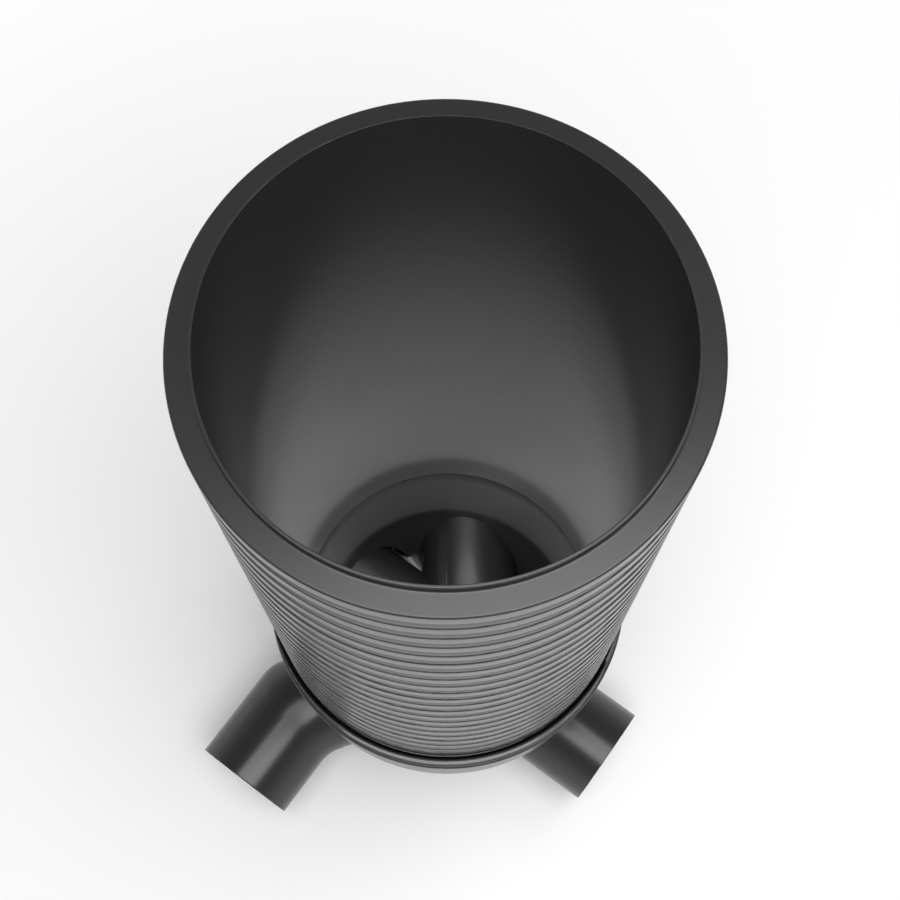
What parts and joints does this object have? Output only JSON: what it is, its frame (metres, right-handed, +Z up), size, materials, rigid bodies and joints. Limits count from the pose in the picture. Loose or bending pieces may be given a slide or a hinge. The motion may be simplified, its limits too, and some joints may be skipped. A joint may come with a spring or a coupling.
{
  "type": "drain inspection chamber",
  "caption": "Upright drain inspection chamber: a ribbed open-topped riser shaft in a moulded base, with closed pipework inside and plain pipe spigots round its foot.",
  "frame": {"origin": "centre of the underside of the base, on the axis of the riser", "axes": "+X is the way the water flows, out of the outlet spigot; +Z is up; the side inlets leave along +Y and -Y"},
  "size_m": [0.6161, 0.7438, 1.3408],
  "materials": {
    "dark_plastic": "satin",
    "rubber": "matte"
  },
  "bodies": {
    "root": {"riser_shaft": "dark_plastic", "base_body": "dark_plastic", "pipework": "dark_plastic", "riser_seal": "rubber", "outlet_seal": "rubber", "main_inlet_seal": "rubber", "left_inlet_seal": "rubber", "right_inlet_seal": "rubber"}
  },
  "joints": []
}
